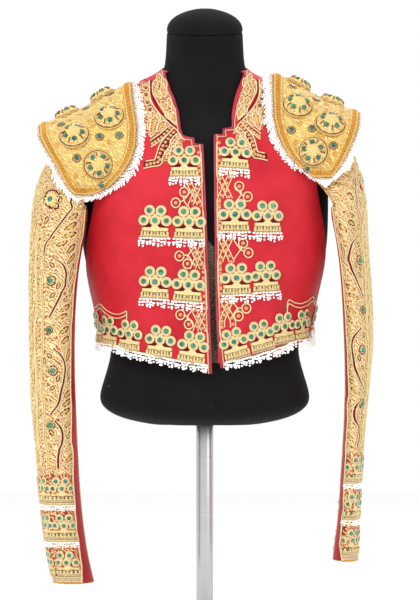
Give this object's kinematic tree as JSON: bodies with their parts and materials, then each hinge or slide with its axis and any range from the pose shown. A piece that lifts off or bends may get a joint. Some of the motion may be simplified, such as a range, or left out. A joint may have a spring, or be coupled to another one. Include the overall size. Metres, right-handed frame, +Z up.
{
  "type": "matador jacket on a limbless dress form",
  "caption": "Short open bullfighter's jacket with gold embroidery, tasselled clusters and domed epaulets, worn by a black limbless dress form on a pole and round base.",
  "frame": {"origin": "centre of the base's underside", "axes": "+Z up, the wearer faces -Y, the wearer's left is +X"},
  "size_m": [0.4656, 0.3, 0.8718],
  "materials": {
    "black_jersey": "matt stretch jersey",
    "brushed_steel": "brushed",
    "red_satin": "satin weave",
    "gold_sleeve_cloth": "couched metallic thread",
    "gold_epaulet": "padded metallic embroidery",
    "white_beads": "glass bead loops",
    "gold_trim": "metallic thread and beads"
  },
  "bodies": {
    "root": {"dress_form": "black_jersey", "neck_cap": "black_jersey", "pole": "brushed_steel", "base": "brushed_steel", "front_right": "red_satin", "front_left": "red_satin", "back_right": "red_satin", "back_left": "red_satin", "collar": "red_satin", "front_edge_right": "red_satin", "front_edge_left": "red_satin", "sleeve_strip_right": "red_satin", "sleeve_strip_left": "red_satin", "sleeve_front_right": "gold_sleeve_cloth", "sleeve_back_right": "gold_sleeve_cloth", "sleeve_front_left": "gold_sleeve_cloth", "sleeve_back_left": "gold_sleeve_cloth", "epaulet_right": "gold_epaulet", "epaulet_left": "gold_epaulet", "epaulet_fringe_right": "white_beads", "epaulet_fringe_left": "white_beads", "cuff_row_1_right": "gold_trim", "cuff_row_2_right": "gold_trim", "cuff_row_3_right": "gold_trim", "cuff_row_1_left": "gold_trim", "cuff_row_2_left": "gold_trim", "cuff_row_3_left": "gold_trim", "hem_trim_right": "gold_trim", "hem_trim_left": "gold_trim", "hem_trim_back": "gold_trim", "shoulder_trim_right": "gold_trim", "shoulder_trim_left": "gold_trim", "tassel_neck_right": "gold_trim", "tassel_upper_outer_right": "gold_trim", "tassel_upper_inner_right": "gold_trim", "tassel_lower_outer_right": "gold_trim", "tassel_lower_inner_right": "gold_trim", "tassel_neck_left": "gold_trim", "tassel_upper_outer_left": "gold_trim", "tassel_upper_inner_left": "gold_trim", "tassel_lower_outer_left": "gold_trim", "tassel_lower_inner_left": "gold_trim", "tassel_back_upper_1": "gold_trim", "tassel_back_upper_2": "gold_trim", "tassel_back_upper_3": "gold_trim", "tassel_back_lower_1": "gold_trim", "tassel_back_lower_2": "gold_trim", "tassel_back_lower_3": "gold_trim"}
  },
  "joints": []
}
